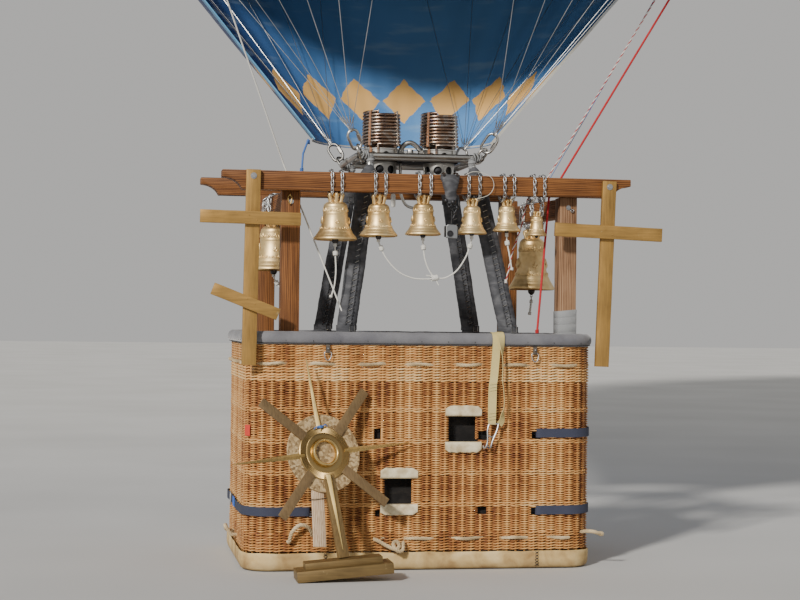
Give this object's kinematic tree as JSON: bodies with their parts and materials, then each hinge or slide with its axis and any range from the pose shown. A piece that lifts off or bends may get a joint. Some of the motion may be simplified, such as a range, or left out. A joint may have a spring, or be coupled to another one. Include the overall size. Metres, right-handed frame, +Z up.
{
  "type": "hot air balloon with a wicker basket and a frame of bells",
  "caption": "Hot air balloon: gored envelope with a vent valve and scoop over a twin burner, a wicker basket, and bells with swinging clappers hung on a timber frame.",
  "frame": {"origin": "the crown of the envelope, on its axis, at the top of the crown ring", "axes": "+Z up along the envelope's axis, +X along the basket's width to the right seen from the front, -Y towards the front, where the gilt sunburst leans"},
  "size_m": [17.0418, 17.0418, 19.5021],
  "materials": {
    "envelope_fabric": "satin coated nylon",
    "load_tape": "woven polyester webbing",
    "stainless": "brushed, heat-tinted at the coils",
    "sleeve_leather": "matt black leather",
    "stained_timber": "brown stained softwood",
    "gilt_board": "gold paint, satin",
    "bell_bronze": "satin golden bronze",
    "clapper_iron": "dark forged iron",
    "white_cord": "braided white cord",
    "wicker": "woven cane, honey to red-brown",
    "rim_suede": "grey-blue suede",
    "rawhide": "cream rawhide",
    "floor_ply": "marine plywood",
    "cylinder_jacket": "padded dark jacket"
  },
  "bodies": {
    "airframe": {"envelope": "envelope_fabric", "scoop": "envelope_fabric", "crown_ring": "load_tape", "burner_frame": "stainless", "flying_wires_fl": "stainless", "flying_wires_fr": "stainless", "flying_wires_rl": "stainless", "flying_wires_rr": "stainless", "upright_fl": "sleeve_leather", "upright_fr": "sleeve_leather", "upright_rl": "sleeve_leather", "upright_rr": "sleeve_leather", "beam_front": "stained_timber", "beam_rear": "stained_timber", "beam_left": "stained_timber", "beam_right": "stained_timber", "post_fl": "stained_timber", "post_fr": "stained_timber", "post_rl": "stained_timber", "post_rr": "stained_timber", "cross_left": "gilt_board", "cross_right": "gilt_board", "sunburst": "gilt_board", "sunburst_base": "gilt_board", "bell_1": "bell_bronze", "bell_2": "bell_bronze", "bell_3": "bell_bronze", "bell_4": "bell_bronze", "bell_5": "bell_bronze", "bell_6": "bell_bronze", "bell_left": "bell_bronze", "bell_right": "bell_bronze", "basket": "wicker", "rim": "rim_suede", "skirt": "rawhide", "floor": "floor_ply", "fuel_cylinder_fl": "cylinder_jacket", "fuel_cylinder_fr": "cylinder_jacket", "fuel_cylinder_rl": "cylinder_jacket", "fuel_cylinder_rr": "cylinder_jacket"},
    "valve": {"parachute_valve": "envelope_fabric"},
    "gimbal_ring": {"gimbal": "stainless"},
    "burners": {"burner_block": "stainless", "burner_left": "stainless", "burner_right": "stainless"},
    "clapper_one": {"clapper_1": "clapper_iron", "pull_cord_1": "white_cord"},
    "clapper_trio": {"clapper_2": "clapper_iron", "clapper_3": "clapper_iron", "clapper_4": "clapper_iron", "pull_cord_2": "white_cord", "pull_cord_3": "white_cord", "pull_cord_4": "white_cord"},
    "clapper_five": {"clapper_5": "clapper_iron", "pull_cord_5": "white_cord"},
    "clapper_six": {"clapper_6": "clapper_iron"},
    "clapper_west": {"clapper_left": "clapper_iron", "pull_cord_left": "white_cord"},
    "clapper_east": {"clapper_right": "clapper_iron"}
  },
  "joints": [
    {"name": "valve_slide", "type": "slide", "parent": "airframe", "child": "valve", "axis": [0, 0, 1], "range_m": [-1, 0]},
    {"name": "gimbal_tilt", "type": "hinge", "parent": "airframe", "child": "gimbal_ring", "pos_m": [0.02, 0, -17.492], "axis": [1, 0, 0], "range_deg": [-12, 12]},
    {"name": "burner_tilt", "type": "hinge", "parent": "gimbal_ring", "child": "burners", "pos_m": [0.02, 0, -17.492], "axis": [0, 1, 0], "range_deg": [-12, 12]},
    {"name": "clapper_one_swing", "type": "hinge", "parent": "airframe", "child": "clapper_one", "pos_m": [-0.429, -0.497, -17.766], "axis": [1, 0, 0], "range_deg": [-24, 24]},
    {"name": "clapper_trio_swing", "type": "hinge", "parent": "airframe", "child": "clapper_trio", "pos_m": [0, -0.497, -17.764], "axis": [1, 0, 0], "range_deg": [-22, 22]},
    {"name": "clapper_five_swing", "type": "hinge", "parent": "airframe", "child": "clapper_five", "pos_m": [0.413, -0.497, -17.762], "axis": [1, 0, 0], "range_deg": [-22, 22]},
    {"name": "clapper_six_swing", "type": "hinge", "parent": "airframe", "child": "clapper_six", "pos_m": [0.563, -0.497, -17.802], "axis": [1, 0, 0], "range_deg": [-18, 18]},
    {"name": "clapper_west_swing", "type": "hinge", "parent": "airframe", "child": "clapper_west", "pos_m": [-0.66, 0.12, -17.864], "axis": [0, 1, 0], "range_deg": [-23, 23]},
    {"name": "clapper_east_swing", "type": "hinge", "parent": "airframe", "child": "clapper_east", "pos_m": [0.679, 0.05, -17.906], "axis": [0, 1, 0], "range_deg": [-19, 19]}
  ]
}
